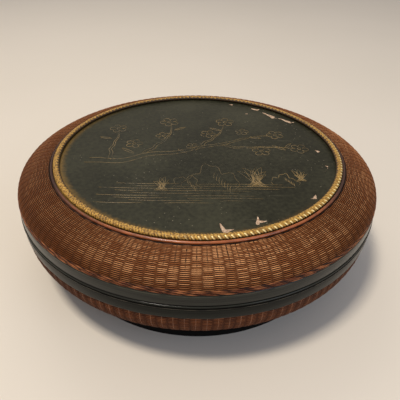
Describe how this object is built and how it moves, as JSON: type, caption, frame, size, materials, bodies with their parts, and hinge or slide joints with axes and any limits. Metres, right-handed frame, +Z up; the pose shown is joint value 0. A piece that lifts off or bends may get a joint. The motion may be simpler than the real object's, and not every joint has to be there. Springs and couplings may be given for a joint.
{
  "type": "covered sewing box",
  "caption": "Round lidded sewing box of fine woven splint with lacquered hoops, a painted top board in a gilt rope border, and a foot ring; the lid lifts off a collar.",
  "frame": {"origin": "on the table under the centre of the foot hoop", "axes": "+Z up along the box's axis"},
  "size_m": [0.34, 0.34, 0.1082],
  "materials": {
    "panel_lacquer": "aged satin lacquer",
    "gilt_rope": "gilt cord, worn",
    "polished_cane": "polished",
    "woven_splint": "satin, aged",
    "hoop_lacquer": "satin lacquer",
    "foot_lacquer": "satin lacquer",
    "lining_lacquer": "satin lacquer",
    "bentwood": "plain wood"
  },
  "bodies": {
    "base": {"base_rim_bead": "hoop_lacquer", "base_rim_hoop": "hoop_lacquer", "base_collar": "lining_lacquer", "base_stakes": "woven_splint", "base_weave": "woven_splint", "base_lining": "lining_lacquer", "base_floor": "bentwood", "base_floor_lining": "lining_lacquer", "foot_hoop": "foot_lacquer"},
    "lid": {"lid_panel": "panel_lacquer", "lid_panel_ring": "bentwood", "lid_ceiling_lining": "lining_lacquer", "lid_stakes": "woven_splint", "lid_weave": "woven_splint", "lid_weave_edging": "woven_splint", "lid_lining": "lining_lacquer", "lid_rim_hoop": "hoop_lacquer", "lid_rim_bead": "hoop_lacquer", "gilt_rope_border": "gilt_rope", "cane_trim_ring": "polished_cane"}
  },
  "joints": [
    {"name": "lid_lift", "type": "slide", "parent": "base", "child": "lid", "axis": [0, 0, 1], "range_m": [0, 0.12]}
  ]
}
